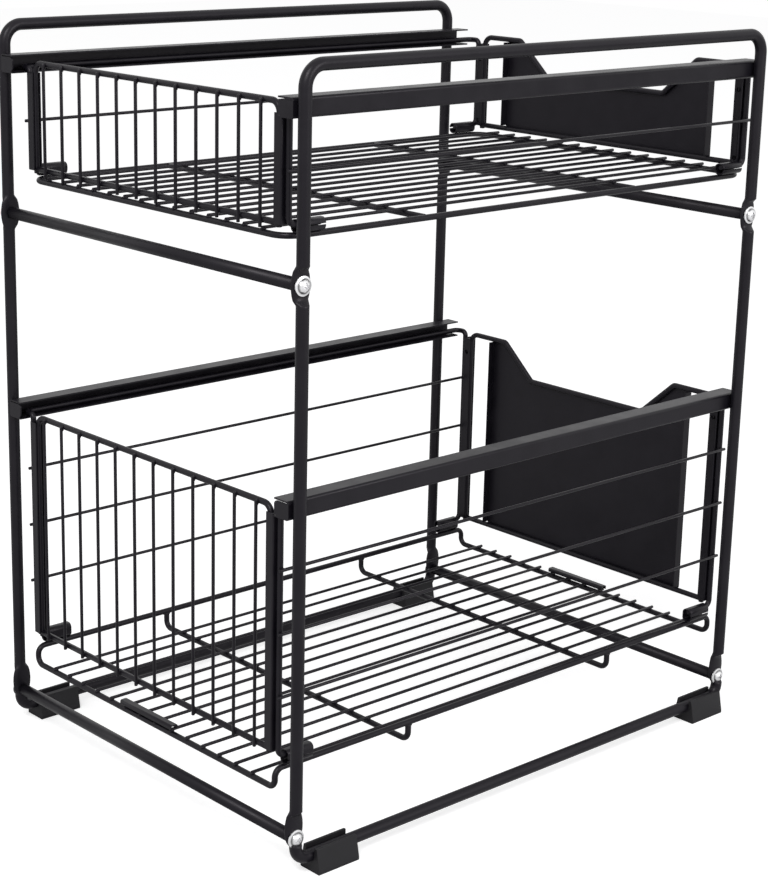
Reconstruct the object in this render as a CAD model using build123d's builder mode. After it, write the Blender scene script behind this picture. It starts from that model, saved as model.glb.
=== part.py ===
"""Free-standing two-tier pull-out wire basket rack, in millimetres.

X runs to the right as seen from the pull side, the pull side faces -Y, Z is up.
Pieces are drawn about the centre of the four-post frame, on the floor; finish()
moves them along Y so that the origin is the centre of the overall footprint.
"""

import os
from math import sqrt

from build123d import *

os.makedirs("parts", exist_ok=True)

SIDES = (("left", -1), ("right", 1))
ENDS = (("front", -1), ("rear", 1))

# ---- frame tube and its loops ------------------------------------------------
tube_diameter = 8.0
tube_wall = 1.0
frame_half_x = 153.2
frame_half_y = 205.0
top_bar_z = 496.2
bottom_rail_z = 11.0
top_bend_radius = 13.0
bottom_bend_radius = 9.0

# ---- pressed screw seats on the posts, and the cross tubes -------------------
upper_cross_z = 371.4
lower_cross_z = 25.6
seat_width = 14.4
seat_half_length = 14.0
seat_flat_half = 8.5
seat_slope_length = 3.0

# ---- frame screws and the threaded plugs in the cross tubes ------------------
screw_shank_diameter = 4.0
screw_hole_diameter = 4.4
screw_shank_length = 13.0
screw_flange_diameter = 12.0
screw_flange_thickness = 1.2
screw_head_diameter = 8.6
screw_head_height = 3.4
screw_tip_chamfer = 0.5
flange_rim_share = 0.6
head_shoulder_rise_share = 0.86
head_shoulder_radius_share = 0.66
recess_length = 4.6
recess_width = 0.9
recess_depth = 1.6
thread_clearance = 0.05
plug_length = 14.0

# ---- slide rails -------------------------------------------------------------
rail_sheet = 1.0
rail_height = 12.0
rail_depth = 13.2
rail_rear_over = 5.5
rail_front_over = 6.0
rail_bend_radius = 1.8
end_tab_gap = 0.6
end_tab_corner = 2.5

# ---- feet --------------------------------------------------------------------
foot_length = 33.0
foot_front_inset = 20.0
foot_rear_inset = 28.5
foot_base_width = 18.0
foot_base_side = 2.5
foot_top_z = 16.5
foot_lip = 2.1
foot_edge_radius = 0.6
foot_fit = 0.05

# ---- basket wires ------------------------------------------------------------
frame_wire = 4.0
grid_wire = 2.2
weld_sink = 0.3
slide_clearance = 0.3
leg_gap = 3.5
slider_inset = 6.0
leg_rear_inset = 2.7
leg_front_over = 11.5
slider_bend_radius = 4.6
leg_top_bend_radius = 3.4
foot_bend_radius = 5.0
stub_length = 24.4
side_grid_rear_over = 3.0
side_grid_front_over = 2.6

# ---- corner sleeves ----------------------------------------------------------
sleeve_sheet = 0.9
sleeve_depth = 6.6
sleeve_width = 6.6
sleeve_fold_radius = 0.8
sleeve_hole_diameter = 3.6
sleeve_hole_inset = 3.0
sleeve_top_hole_drop = 11.7
sleeve_bottom_hole_rise = 4.2

# ---- end panels --------------------------------------------------------------
panel_leg_inset = 7.3
panel_rear_offset = 1.0
panel_bend_radius = 7.0
panel_leg_over = 0.8
grid_top_over = 0.6
vertical_grid_count = 12
bottom_wire_over = 1.8

# ---- pull panel --------------------------------------------------------------
sheet_thickness = 0.8
sheet_half_width = 101.5
sheet_flange_depth = 6.8
flange_clearance = 0.3
sheet_bottom_rise = 1.0
ear_inner_x = 87.0
notch_half_width = 57.0
notch_drop = 26.5
notch_bend_radius = 4.5

# ---- trays -------------------------------------------------------------------
rim_inset = 1.5
rim_rear_over = 1.2
rim_front_over = 1.5
rim_corner_radius = 12.0
rim_drop_radius = 5.6
cross_wire_offset = 97.5
longitudinal_count = 14
longitudinal_rear_over = 1.0
longitudinal_front_over = 3.2
cross_wire_butt = 0.6

# ---- tray hooks and clip strips ----------------------------------------------
hook_sheet = 0.9
hook_width = 8.0
hook_length = 20.5
hook_corner_radius = 3.2
hook_slit = 0.8
hook_slit_rise = 4.0
clip_length = 56.5
clip_width = 5.8
clip_sheet = 0.9
clip_top_rise = 7.0
clip_corner_radius = 1.3

# ---- margin by which a cutting shape passes the surface it cuts ---------------
cut_margin = 1.0

# ---- the two levels ----------------------------------------------------------
LEVELS = {
    "upper": {
        "shift": -3.5,
        "rail_z": 472.0,
        "rear_wire_z": 473.2,
        "ear_wire_z": 472.4,
        "bottom_wire_z": 403.4,
        "sleeve_top_z": 467.0,
        "sleeve_bottom_z": 403.0,
        "stub_z": 402.8,
        "rim_side_z": 395.8,
        "rim_end_z": 395.8,
        "grid_bottom_over": 2.4,
        "side_grid_z": (434.5,),
        "vertical_pitch": 20.25,
        "longitudinal_pitch": 17.1,
        "sleeve_bottom_hole": True,
    },
    "lower": {
        "shift": 0.0,
        "rail_z": 236.3,
        "rear_wire_z": 233.5,
        "ear_wire_z": 233.2,
        "bottom_wire_z": 76.0,
        "sleeve_top_z": 229.7,
        "sleeve_bottom_z": 76.0,
        "stub_z": 72.6,
        "rim_side_z": 63.6,
        "rim_end_z": 51.0,
        "grid_bottom_over": 0.4,
        "side_grid_z": (194.5, 153.5, 112.4),
        "vertical_pitch": 20.7,
        "longitudinal_pitch": 16.8,
        "sleeve_bottom_hole": False,
    },
}

tube_radius = tube_diameter / 2
bore_radius = tube_radius - tube_wall
post_inner_x = frame_half_x - tube_radius
frame_wire_radius = frame_wire / 2
grid_wire_radius = grid_wire / 2
grid_stand = frame_wire_radius + grid_wire_radius - weld_sink
seat_press_half = seat_flat_half + seat_slope_length
rail_inner_edge_x = post_inner_x - rail_depth
rail_rear_y = frame_half_y + rail_rear_over
rail_front_y = -frame_half_y - rail_front_over
foot_front_y = -frame_half_y + foot_front_inset
foot_rear_y = frame_half_y - foot_rear_inset
slider_x = rail_inner_edge_x + slider_inset
leg_x = rail_inner_edge_x - leg_gap
leg_rear_y = frame_half_y - leg_rear_inset
leg_front_y = -frame_half_y - leg_front_over
stub_rear_y = leg_rear_y - stub_length
stub_front_y = leg_front_y + stub_length
panel_leg_x = leg_x - panel_leg_inset
bottom_wire_half = panel_leg_x + bottom_wire_over
rim_x = leg_x - rim_inset
rim_rear_y = leg_rear_y + rim_rear_over
rim_front_y = leg_front_y - rim_front_over
# the hook's lower inner corner rests against the tray rim, round on round
hook_corner_x = leg_x - hook_width / 2 + hook_corner_radius
hook_seat_reach = frame_wire_radius + hook_corner_radius
hook_seat_rise = sqrt(hook_seat_reach**2 - (hook_corner_x - rim_x) ** 2) - hook_corner_radius
foremost_y = (
    rim_front_y + min(size["shift"] for size in LEVELS.values()) - longitudinal_front_over
)
rearmost_y = frame_half_y + seat_width / 2
footprint_mid_y = (foremost_y + rearmost_y) / 2


def finish(part, name):
    """Move a finished piece to the footprint's centre, label it and write its file."""
    placed = part.moved(Location((0, -footprint_mid_y, 0)))
    placed.label = name
    export_step(placed, f"parts/{name}.step")


def on_wire(wire):
    """Plane across the start of a wire path."""
    return Plane(origin=wire @ 0, z_dir=wire % 0)


def evenly(count, pitch):
    """Positions of count wires at one pitch, centred on zero."""
    return [(index - (count - 1) / 2) * pitch for index in range(count)]


# ==== side frames: closed tube loops with two pressed seats on each post =======
for side, sx in SIDES:
    loop_x = sx * frame_half_x
    with BuildPart() as side_frame:
        with BuildLine():
            loop = FilletPolyline(
                (loop_x, 0, top_bar_z),
                (loop_x, frame_half_y, top_bar_z),
                (loop_x, frame_half_y, bottom_rail_z),
                (loop_x, 0, bottom_rail_z),
                radius=(top_bend_radius, bottom_bend_radius),
            )
        with BuildSketch(on_wire(loop)):
            Circle(tube_radius)
        sweep(path=loop)
        # bore of the top bar and of the post down to the upper seat
        with BuildLine():
            top_bore = FilletPolyline(
                (loop_x, 0, top_bar_z),
                (loop_x, frame_half_y, top_bar_z),
                (loop_x, frame_half_y, upper_cross_z + seat_press_half),
                radius=top_bend_radius,
            )
        with BuildSketch(on_wire(top_bore)):
            Circle(bore_radius)
        sweep(path=top_bore, mode=Mode.SUBTRACT)
        # bore of the post between its seats
        with BuildSketch(Plane.XY.offset(lower_cross_z + seat_press_half)):
            with Locations((loop_x, frame_half_y)):
                Circle(bore_radius)
        extrude(
            amount=upper_cross_z - lower_cross_z - 2 * seat_press_half,
            mode=Mode.SUBTRACT,
        )
        # bore of the bottom rail
        with BuildSketch(Plane.XZ):
            with Locations((loop_x, bottom_rail_z)):
                Circle(bore_radius)
        extrude(amount=-(frame_half_y - bottom_bend_radius), mode=Mode.SUBTRACT)
        # the press face slopes from the seat's flat out past the tube's surface
        press_x = loop_x + sx * (tube_radius + cut_margin)
        press_half = seat_flat_half + seat_slope_length * (1 + cut_margin / tube_radius)
        for seat_z in (upper_cross_z, lower_cross_z):
            # pressed seat: the tube squeezed flat and spread sideways
            with BuildSketch(
                Plane(
                    origin=(sx * post_inner_x, frame_half_y, seat_z),
                    x_dir=(0, 1, 0),
                    z_dir=(sx, 0, 0),
                )
            ):
                Ellipse(seat_width / 2, seat_half_length)
            extrude(amount=tube_radius)
            with BuildSketch(Plane.XZ.offset(-frame_half_y)):
                with BuildLine():
                    Polyline(
                        (loop_x, seat_z - seat_flat_half),
                        (press_x, seat_z - press_half),
                        (press_x, seat_z + press_half),
                        (loop_x, seat_z + seat_flat_half),
                        close=True,
                    )
                make_face()
            extrude(amount=seat_width, both=True, mode=Mode.SUBTRACT)
            with BuildSketch(
                Plane(
                    origin=(sx * (post_inner_x - cut_margin), frame_half_y, seat_z),
                    x_dir=(0, 1, 0),
                    z_dir=(sx, 0, 0),
                )
            ):
                Circle(screw_hole_diameter / 2)
            extrude(amount=tube_diameter + 2 * cut_margin, mode=Mode.SUBTRACT)
        mirror(about=Plane.XZ)
    finish(side_frame.part, f"side_frame_{side}")

# ==== cross tubes: straight spacers between the posts ==========================
for end, sy in ENDS:
    for level, cross_z in (("upper", upper_cross_z), ("lower", lower_cross_z)):
        with BuildPart() as cross_tube:
            with BuildSketch(Plane.YZ.offset(-post_inner_x)):
                with Locations((sy * frame_half_y, cross_z)):
                    Circle(tube_radius)
                    Circle(bore_radius, mode=Mode.SUBTRACT)
            extrude(amount=2 * post_inner_x)
        finish(cross_tube.part, f"cross_tube_{end}_{level}")

# ==== threaded plugs pressed into the ends of the cross tubes ==================
with BuildPart() as tube_plugs:
    for side, sx in SIDES:
        for end, sy in ENDS:
            for cross_z in (upper_cross_z, lower_cross_z):
                with BuildSketch(
                    Plane(
                        origin=(sx * post_inner_x, sy * frame_half_y, cross_z),
                        x_dir=(0, 1, 0),
                        z_dir=(-sx, 0, 0),
                    )
                ):
                    Circle(bore_radius)
                    Circle(screw_shank_diameter / 2 + thread_clearance, mode=Mode.SUBTRACT)
                extrude(amount=plug_length)
finish(tube_plugs.part, "tube_plugs")

# ==== frame screws: flanged pan heads with a cross recess ======================
with BuildPart(mode=Mode.PRIVATE) as screw:
    with BuildSketch(Plane.XZ):
        with BuildLine():
            Polyline(
                (-screw_shank_length, 0),
                (-screw_shank_length, screw_shank_diameter / 2 - screw_tip_chamfer),
                (-screw_shank_length + screw_tip_chamfer, screw_shank_diameter / 2),
                (0, screw_shank_diameter / 2),
                (0, screw_flange_diameter / 2),
                (screw_flange_thickness * flange_rim_share, screw_flange_diameter / 2),
                (screw_flange_thickness, screw_head_diameter / 2),
            )
            ThreePointArc(
                (screw_flange_thickness, screw_head_diameter / 2),
                (
                    screw_head_height * head_shoulder_rise_share,
                    screw_head_diameter / 2 * head_shoulder_radius_share,
                ),
                (screw_head_height, 0),
            )
            Line((screw_head_height, 0), (-screw_shank_length, 0))
        make_face()
    revolve(axis=Axis.X)
    with BuildSketch(Plane.YZ.offset(screw_head_height - recess_depth)):
        Rectangle(recess_length, recess_width)
        Rectangle(recess_width, recess_length)
    extrude(amount=recess_depth + cut_margin, mode=Mode.SUBTRACT)

with BuildPart() as frame_screws:
    for side, sx in SIDES:
        for end, sy in ENDS:
            for cross_z in (upper_cross_z, lower_cross_z):
                with Locations(
                    Location(
                        (sx * frame_half_x, sy * frame_half_y, cross_z),
                        (0, 0, 0 if sx > 0 else 180),
                    )
                ):
                    add(screw.part)
finish(frame_screws.part, "frame_screws")

# ==== slide rails: folded channels open towards the baskets ====================
for level, size in LEVELS.items():
    rail_z = size["rail_z"]
    for side, sx in SIDES:
        rail_mid_x = sx * (rail_inner_edge_x + rail_depth / 2)
        with BuildPart() as rail:
            with BuildSketch(Plane.XZ.offset(-rail_rear_y)):
                with Locations((rail_mid_x, rail_z)):
                    Rectangle(rail_depth, rail_height)
                outer = vertices().filter_by(
                    lambda corner: abs(corner.X) > rail_inner_edge_x + cut_margin
                )
                fillet(outer, rail_bend_radius)
                with BuildSketch(mode=Mode.PRIVATE) as channel_room:
                    with Locations((rail_mid_x, rail_z)):
                        Rectangle(rail_depth, rail_height - 2 * rail_sheet)
                    inner = vertices().filter_by(
                        lambda corner: abs(corner.X) > rail_inner_edge_x + cut_margin
                    )
                    fillet(inner, rail_bend_radius - rail_sheet)
                with Locations((-sx * rail_sheet, 0)):
                    add(channel_room.sketch, mode=Mode.SUBTRACT)
            extrude(amount=rail_rear_y - rail_front_y)
            # end tab folded across the rear of the channel
            tab_height = rail_height - 2 * rail_sheet - end_tab_gap
            with BuildSketch(Plane.XZ.offset(-rail_rear_y)):
                with Locations((rail_mid_x - sx * rail_sheet / 2, rail_z - end_tab_gap / 2)):
                    Rectangle(rail_depth - rail_sheet, tab_height)
                tab_free = vertices().filter_by(
                    lambda corner: abs(corner.X) < rail_inner_edge_x + cut_margin
                )
                fillet(tab_free, end_tab_corner)
            extrude(amount=rail_sheet)
        finish(rail.part, f"rail_{level}_{side}")

# ==== feet: saddles clipped over the bottom rails ==============================
for end, foot_y in (("front", foot_front_y), ("rear", foot_rear_y)):
    for side, sx in SIDES:
        foot_x = sx * frame_half_x
        groove_radius = tube_radius + foot_fit
        with BuildPart() as foot:
            with BuildSketch(Plane.XZ.offset(-(foot_y + foot_length / 2))):
                with BuildLine():
                    Polyline(
                        (foot_x - foot_base_width / 2, 0),
                        (foot_x + foot_base_width / 2, 0),
                        (foot_x + foot_base_width / 2, foot_base_side),
                        (foot_x + groove_radius + foot_lip, foot_top_z),
                        (foot_x - groove_radius - foot_lip, foot_top_z),
                        (foot_x - foot_base_width / 2, foot_base_side),
                        close=True,
                    )
                make_face()
                fillet(vertices(), foot_edge_radius)
                with Locations((foot_x, bottom_rail_z)):
                    Circle(groove_radius, mode=Mode.SUBTRACT)
                with Locations((foot_x, bottom_rail_z + tube_diameter / 2)):
                    Rectangle(2 * groove_radius, tube_diameter, mode=Mode.SUBTRACT)
            extrude(amount=foot_length)
        finish(foot.part, f"foot_{end}_{side}")

# ==== the two baskets ==========================================================
for level, size in LEVELS.items():
    shift = size["shift"]
    rear_y = leg_rear_y + shift
    front_y = leg_front_y + shift
    middle_y = (rear_y + front_y) / 2
    stub_z = size["stub_z"]
    rail_floor_z = size["rail_z"] - rail_height / 2 + rail_sheet
    slider_z = rail_floor_z + slide_clearance + frame_wire_radius
    bottom_z = size["bottom_wire_z"]
    panel_leg_foot_z = bottom_z - frame_wire_radius - panel_leg_over

    # -- side wires: slider in the rail, a leg at each end, hooked stub at its foot
    for side, sx in SIDES:
        with BuildPart() as side_wire:
            with BuildLine():
                run = FilletPolyline(
                    (sx * leg_x, stub_rear_y + shift, stub_z),
                    (sx * leg_x, rear_y, stub_z),
                    (sx * leg_x, rear_y, slider_z),
                    (sx * slider_x, rear_y, slider_z),
                    (sx * slider_x, front_y, slider_z),
                    (sx * leg_x, front_y, slider_z),
                    (sx * leg_x, front_y, stub_z),
                    (sx * leg_x, stub_front_y + shift, stub_z),
                    radius=(
                        foot_bend_radius,
                        leg_top_bend_radius,
                        slider_bend_radius,
                        slider_bend_radius,
                        leg_top_bend_radius,
                        foot_bend_radius,
                    ),
                )
            with BuildSketch(on_wire(run)):
                Circle(frame_wire_radius)
            sweep(path=run)
            with BuildSketch(Plane.XZ.offset(-(rear_y + side_grid_rear_over))):
                with Locations(
                    *[(sx * (leg_x + grid_stand), wire_z) for wire_z in size["side_grid_z"]]
                ):
                    Circle(grid_wire_radius)
            extrude(amount=rear_y - front_y + side_grid_rear_over + side_grid_front_over)
        finish(side_wire.part, f"{level}_side_wire_{side}")

    # -- corner sleeves: folded channels on the legs that take the panel legs
    for end, sy in ENDS:
        if sy > 0:
            sleeve_y = rear_y + panel_rear_offset
        else:
            sleeve_y = front_y
        for side, sx in SIDES:
            sleeve_outer_x = leg_x - frame_wire_radius
            sleeve_mid_x = sx * (sleeve_outer_x - sleeve_width / 2)
            with BuildPart() as sleeve:
                with BuildSketch(Plane.XY.offset(size["sleeve_bottom_z"])):
                    with Locations((sleeve_mid_x, sleeve_y)):
                        Rectangle(sleeve_width, sleeve_depth)
                    with Locations((sleeve_mid_x - sx * sleeve_sheet, sleeve_y)):
                        Rectangle(
                            sleeve_width,
                            sleeve_depth - 2 * sleeve_sheet,
                            mode=Mode.SUBTRACT,
                        )
                extrude(amount=size["sleeve_top_z"] - size["sleeve_bottom_z"])
                web_edges = edges().filter_by(Axis.Z).filter_by(
                    lambda edge: abs(edge.center().X) > sleeve_outer_x - sleeve_sheet / 2
                )
                fillet(web_edges, sleeve_fold_radius)
                if sy < 0:
                    hole_x = sx * (sleeve_outer_x - sleeve_hole_inset)
                    holes = [(hole_x, size["sleeve_top_z"] - sleeve_top_hole_drop)]
                    if size["sleeve_bottom_hole"]:
                        holes.append((hole_x, size["sleeve_bottom_z"] + sleeve_bottom_hole_rise))
                    with BuildSketch(Plane.XZ.offset(-sleeve_y)):
                        with Locations(*holes):
                            Circle(sleeve_hole_diameter / 2)
                    extrude(amount=sleeve_depth, both=True, mode=Mode.SUBTRACT)
            finish(sleeve.part, f"{level}_sleeve_{end}_{side}")

    # -- rear grid panel: hoop, bottom wire and upright wires on its outer face
    panel_y = rear_y + panel_rear_offset
    with BuildPart() as rear_panel:
        with BuildLine():
            hoop = FilletPolyline(
                (-panel_leg_x, panel_y, panel_leg_foot_z),
                (-panel_leg_x, panel_y, size["rear_wire_z"]),
                (panel_leg_x, panel_y, size["rear_wire_z"]),
                (panel_leg_x, panel_y, panel_leg_foot_z),
                radius=panel_bend_radius,
            )
        with BuildSketch(on_wire(hoop)):
            Circle(frame_wire_radius)
        sweep(path=hoop)
        with BuildSketch(Plane.YZ.offset(-panel_leg_x)):
            with Locations((panel_y, bottom_z)):
                Circle(frame_wire_radius)
        extrude(amount=2 * panel_leg_x)
        upright_foot_z = bottom_z - size["grid_bottom_over"] - frame_wire_radius
        with BuildSketch(Plane.XY.offset(upright_foot_z)):
            with Locations(
                *[
                    (upright_x, panel_y + grid_stand)
                    for upright_x in evenly(vertical_grid_count, size["vertical_pitch"])
                ]
            ):
                Circle(grid_wire_radius)
        extrude(amount=size["rear_wire_z"] + grid_top_over - upright_foot_z)
    finish(rear_panel.part, f"{level}_rear_panel")

    # -- pull panel wire: hoop with two raised ears around a hand notch
    ear_z = size["ear_wire_z"]
    notch_z = ear_z - notch_drop
    with BuildPart() as pull_hoop:
        with BuildLine():
            pull_run = FilletPolyline(
                (-panel_leg_x, front_y, panel_leg_foot_z),
                (-panel_leg_x, front_y, ear_z),
                (-ear_inner_x, front_y, ear_z),
                (-notch_half_width, front_y, notch_z),
                (notch_half_width, front_y, notch_z),
                (ear_inner_x, front_y, ear_z),
                (panel_leg_x, front_y, ear_z),
                (panel_leg_x, front_y, panel_leg_foot_z),
                radius=(
                    panel_bend_radius,
                    notch_bend_radius,
                    notch_bend_radius,
                    notch_bend_radius,
                    notch_bend_radius,
                    panel_bend_radius,
                ),
            )
        with BuildSketch(on_wire(pull_run)):
            Circle(frame_wire_radius)
        sweep(path=pull_run)
        with BuildSketch(Plane.YZ.offset(-bottom_wire_half)):
            with Locations((front_y, bottom_z)):
                Circle(frame_wire_radius)
        extrude(amount=2 * bottom_wire_half)
    finish(pull_hoop.part, f"{level}_pull_hoop")

    # -- pull panel sheet: notched plate on the hoop's outer side, flanges folded in
    sheet_y = front_y - frame_wire_radius
    sheet_bottom_z = bottom_z + sheet_bottom_rise
    flange_bottom_z = bottom_z + frame_wire_radius + flange_clearance
    flange_top_z = ear_z - frame_wire_radius - flange_clearance
    with BuildPart() as pull_sheet:
        with BuildSketch(Plane.XZ.offset(-sheet_y)):
            with BuildLine():
                Polyline(
                    (-sheet_half_width, sheet_bottom_z),
                    (sheet_half_width, sheet_bottom_z),
                    (sheet_half_width, ear_z),
                    (ear_inner_x, ear_z),
                    (notch_half_width, notch_z),
                    (-notch_half_width, notch_z),
                    (-ear_inner_x, ear_z),
                    (-sheet_half_width, ear_z),
                    close=True,
                )
            make_face()
            notch_corners = vertices().filter_by(
                lambda corner: abs(corner.X) < ear_inner_x + cut_margin
            )
            fillet(notch_corners, notch_bend_radius)
        extrude(amount=sheet_thickness)
        with BuildSketch(Plane.XY.offset(flange_bottom_z)):
            for sx in (-1, 1):
                with Locations(
                    (
                        sx * (sheet_half_width - sheet_thickness / 2),
                        sheet_y - sheet_thickness + sheet_flange_depth / 2,
                    )
                ):
                    Rectangle(sheet_thickness, sheet_flange_depth)
        extrude(amount=flange_top_z - flange_bottom_z)
    finish(pull_sheet.part, f"{level}_pull_sheet")

    # -- tray: rim, two cross wires and the lengthwise wires
    rim_side_z = size["rim_side_z"]
    rim_end_z = size["rim_end_z"]
    tray_rear_y = rim_rear_y + shift
    tray_front_y = rim_front_y + shift
    lengthwise_z = rim_end_z + grid_stand
    dropped = rim_side_z - rim_end_z > frame_wire
    if dropped:
        rim_points = [
            (rim_x, middle_y, rim_side_z),
            (rim_x, tray_rear_y, rim_side_z),
            (rim_x, tray_rear_y, rim_end_z),
            (-rim_x, tray_rear_y, rim_end_z),
            (-rim_x, tray_rear_y, rim_side_z),
            (-rim_x, middle_y, rim_side_z),
        ]
        rim_front_points = [
            (rim_x, middle_y, rim_side_z),
            (rim_x, tray_front_y, rim_side_z),
            (rim_x, tray_front_y, rim_end_z),
            (-rim_x, tray_front_y, rim_end_z),
            (-rim_x, tray_front_y, rim_side_z),
            (-rim_x, middle_y, rim_side_z),
        ]
        rim_radius = rim_drop_radius
    else:
        rim_points = [
            (rim_x, middle_y, rim_side_z),
            (rim_x, tray_rear_y, rim_side_z),
            (-rim_x, tray_rear_y, rim_side_z),
            (-rim_x, middle_y, rim_side_z),
        ]
        rim_front_points = [
            (rim_x, middle_y, rim_side_z),
            (rim_x, tray_front_y, rim_side_z),
            (-rim_x, tray_front_y, rim_side_z),
            (-rim_x, middle_y, rim_side_z),
        ]
        rim_radius = rim_corner_radius
    with BuildPart() as tray:
        for half_points in (rim_points, rim_front_points):
            with BuildLine():
                half_rim = FilletPolyline(*half_points, radius=rim_radius)
            with BuildSketch(on_wire(half_rim)):
                Circle(frame_wire_radius)
            sweep(path=half_rim)
        for offset_y in (-cross_wire_offset, cross_wire_offset):
            cross_y = middle_y + offset_y
            if dropped:
                with BuildLine():
                    cross_run = FilletPolyline(
                        (rim_x, cross_y, rim_side_z - frame_wire_radius + weld_sink),
                        (rim_x, cross_y, rim_end_z),
                        (-rim_x, cross_y, rim_end_z),
                        (-rim_x, cross_y, rim_side_z - frame_wire_radius + weld_sink),
                        radius=rim_drop_radius,
                    )
            else:
                # straight wires of the rim's own size butt into its flanks
                cross_reach = rim_x - frame_wire_radius + cross_wire_butt
                with BuildLine():
                    cross_run = Line(
                        (cross_reach, cross_y, rim_end_z), (-cross_reach, cross_y, rim_end_z)
                    )
            with BuildSketch(on_wire(cross_run)):
                Circle(frame_wire_radius)
            sweep(path=cross_run)
        with BuildSketch(Plane.XZ.offset(-(tray_rear_y + longitudinal_rear_over))):
            with Locations(
                *[
                    (wire_x, lengthwise_z)
                    for wire_x in evenly(longitudinal_count, size["longitudinal_pitch"])
                ]
            ):
                Circle(grid_wire_radius)
        extrude(
            amount=tray_rear_y
            - tray_front_y
            + longitudinal_rear_over
            + longitudinal_front_over
        )
    finish(tray.part, f"{level}_tray")

    # -- tray hooks: sheet rolled round the leg stubs and welded onto the tray rim
    hook_top_z = stub_z + frame_wire_radius + hook_sheet
    hook_bottom_z = rim_side_z + hook_seat_rise
    hook_height = hook_top_z - hook_bottom_z
    hook_middle_z = (hook_top_z + hook_bottom_z) / 2
    with BuildPart() as tray_hooks:
        for sx in (-1, 1):
            for hook_rear_y in (
                leg_rear_y - foot_bend_radius,
                leg_front_y + foot_bend_radius + hook_length,
            ):
                with BuildSketch(Plane.XZ.offset(-(hook_rear_y + shift))):
                    with Locations((sx * leg_x, hook_middle_z)):
                        RectangleRounded(hook_width, hook_height, hook_corner_radius)
                        RectangleRounded(
                            hook_width - 2 * hook_sheet,
                            hook_height - 2 * hook_sheet,
                            hook_corner_radius - hook_sheet,
                            mode=Mode.SUBTRACT,
                        )
                    # the sheet's two edges meet at a slit in the outer flank
                    slit_x = sx * (leg_x + hook_width / 2 - hook_sheet / 2)
                    with Locations((slit_x, hook_bottom_z + hook_slit_rise)):
                        Rectangle(2 * hook_sheet, hook_slit, mode=Mode.SUBTRACT)
                extrude(amount=hook_length)
    finish(tray_hooks.part, f"{level}_tray_hooks")

    # -- clip strips: inverted channels over the middle of each end of the deep tray
    if dropped:
        clip_top_z = rim_end_z + clip_top_rise
        clip_bottom_z = lengthwise_z + grid_wire_radius
        clip_height = clip_top_z - clip_bottom_z
        with BuildPart() as tray_clips:
            for rim_y in (tray_rear_y, tray_front_y):
                with BuildSketch(Plane.YZ.offset(-clip_length / 2)):
                    with Locations((rim_y, clip_bottom_z + clip_height / 2)):
                        Rectangle(clip_width, clip_height)
                    folds = vertices().filter_by(
                        lambda corner: corner.Y > clip_top_z - clip_sheet
                    )
                    fillet(folds, clip_corner_radius)
                    with BuildSketch(mode=Mode.PRIVATE) as clip_room:
                        with Locations((rim_y, clip_bottom_z + clip_height / 2)):
                            Rectangle(clip_width - 2 * clip_sheet, clip_height)
                        room_folds = vertices().filter_by(
                            lambda corner: corner.Y > clip_top_z - clip_sheet
                        )
                        fillet(room_folds, clip_corner_radius - clip_sheet)
                    with Locations((0, -clip_sheet)):
                        add(clip_room.sketch, mode=Mode.SUBTRACT)
                extrude(amount=clip_length)
        finish(tray_clips.part, f"{level}_tray_clips")
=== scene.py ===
"""Studio scene of a free-standing two-tier pull-out basket rack of black coated steel."""

import logging
import math
from dataclasses import dataclass, field
from enum import Enum

import bmesh
import bpy
from mathutils import Matrix, Vector


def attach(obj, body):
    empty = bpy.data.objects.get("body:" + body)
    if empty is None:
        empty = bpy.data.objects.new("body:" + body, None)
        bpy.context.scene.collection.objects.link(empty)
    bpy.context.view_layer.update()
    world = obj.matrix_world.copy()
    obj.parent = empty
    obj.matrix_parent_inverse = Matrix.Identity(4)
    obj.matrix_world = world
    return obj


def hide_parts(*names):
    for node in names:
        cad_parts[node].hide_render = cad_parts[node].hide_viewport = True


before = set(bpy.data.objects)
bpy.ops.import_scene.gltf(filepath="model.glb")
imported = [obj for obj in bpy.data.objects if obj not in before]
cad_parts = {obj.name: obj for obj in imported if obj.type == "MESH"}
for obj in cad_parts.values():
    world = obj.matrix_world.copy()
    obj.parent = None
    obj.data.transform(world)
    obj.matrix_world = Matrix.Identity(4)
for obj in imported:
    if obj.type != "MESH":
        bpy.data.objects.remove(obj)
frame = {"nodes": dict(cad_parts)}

log = logging.getLogger("basket_rack")

# The frame's own centre lies this far (in millimetres) behind the footprint's centre.
FRAME_CENTRE_Y = 6.25


def place(x: float, y: float, z: float) -> Vector:
    """A point given in millimetres about the frame's centre, in scene metres."""
    return Vector((x, y + FRAME_CENTRE_Y, z)) / 1000


class Side(Enum):
    """Left and right as seen from the pull side."""

    LEFT = -1
    RIGHT = 1

    @property
    def word(self) -> str:
        """The side's name in piece names."""
        return self.name.lower()


class Level(Enum):
    """The two baskets."""

    UPPER = "upper"
    LOWER = "lower"

    @property
    def body(self) -> str:
        """The body that slides with this basket."""
        return f"{self.value}_basket"


# ---------------------------------------------------------------- shader maths


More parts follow.
